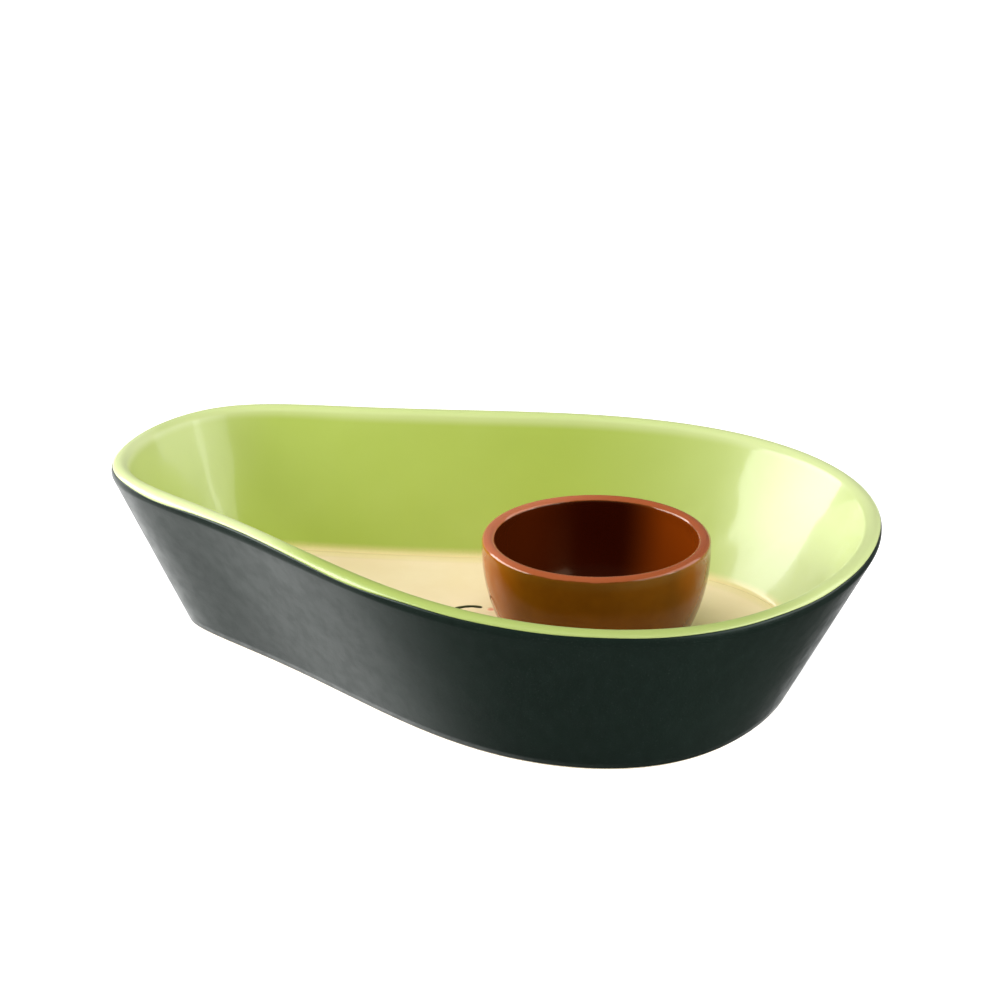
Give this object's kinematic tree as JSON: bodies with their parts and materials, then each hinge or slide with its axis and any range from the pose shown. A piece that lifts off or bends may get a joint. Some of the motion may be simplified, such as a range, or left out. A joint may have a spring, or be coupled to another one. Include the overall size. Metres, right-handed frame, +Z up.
{
  "type": "chip and dip server",
  "caption": "Pear-shaped glazed ceramic serving dish with sloping walls, and a round dip bowl that stands loose on its floor at the wide end and lifts out.",
  "frame": {"origin": "on the table under the centre of the dish's bounding box", "axes": "+X along the length to the wide end where the dip bowl stands, +Y across, +Z up"},
  "size_m": [0.34, 0.238, 0.0767],
  "materials": {
    "dish_clay": "unglazed, matt",
    "dark_green_glaze": "satin glaze with a fine speckle",
    "lime_glaze": "high gloss glaze",
    "cream_glaze": "gloss glaze",
    "black_paint": "fired gloss paint",
    "pink_paint": "fired gloss paint",
    "bowl_clay": "unglazed, matt",
    "brown_glaze": "high gloss glaze"
  },
  "bodies": {
    "dish": {"dish_body": "dish_clay", "dish_outer_glaze": "dark_green_glaze", "dish_wall_glaze": "lime_glaze", "dish_floor_glaze": "cream_glaze", "painted_arc": "black_paint", "painted_blush": "pink_paint"},
    "dip_bowl": {"bowl_body": "bowl_clay", "bowl_glaze": "brown_glaze"}
  },
  "joints": [
    {"name": "bowl_lift", "type": "slide", "parent": "dish", "child": "dip_bowl", "axis": [0, 0, 1], "range_m": [0, 0.12]}
  ]
}
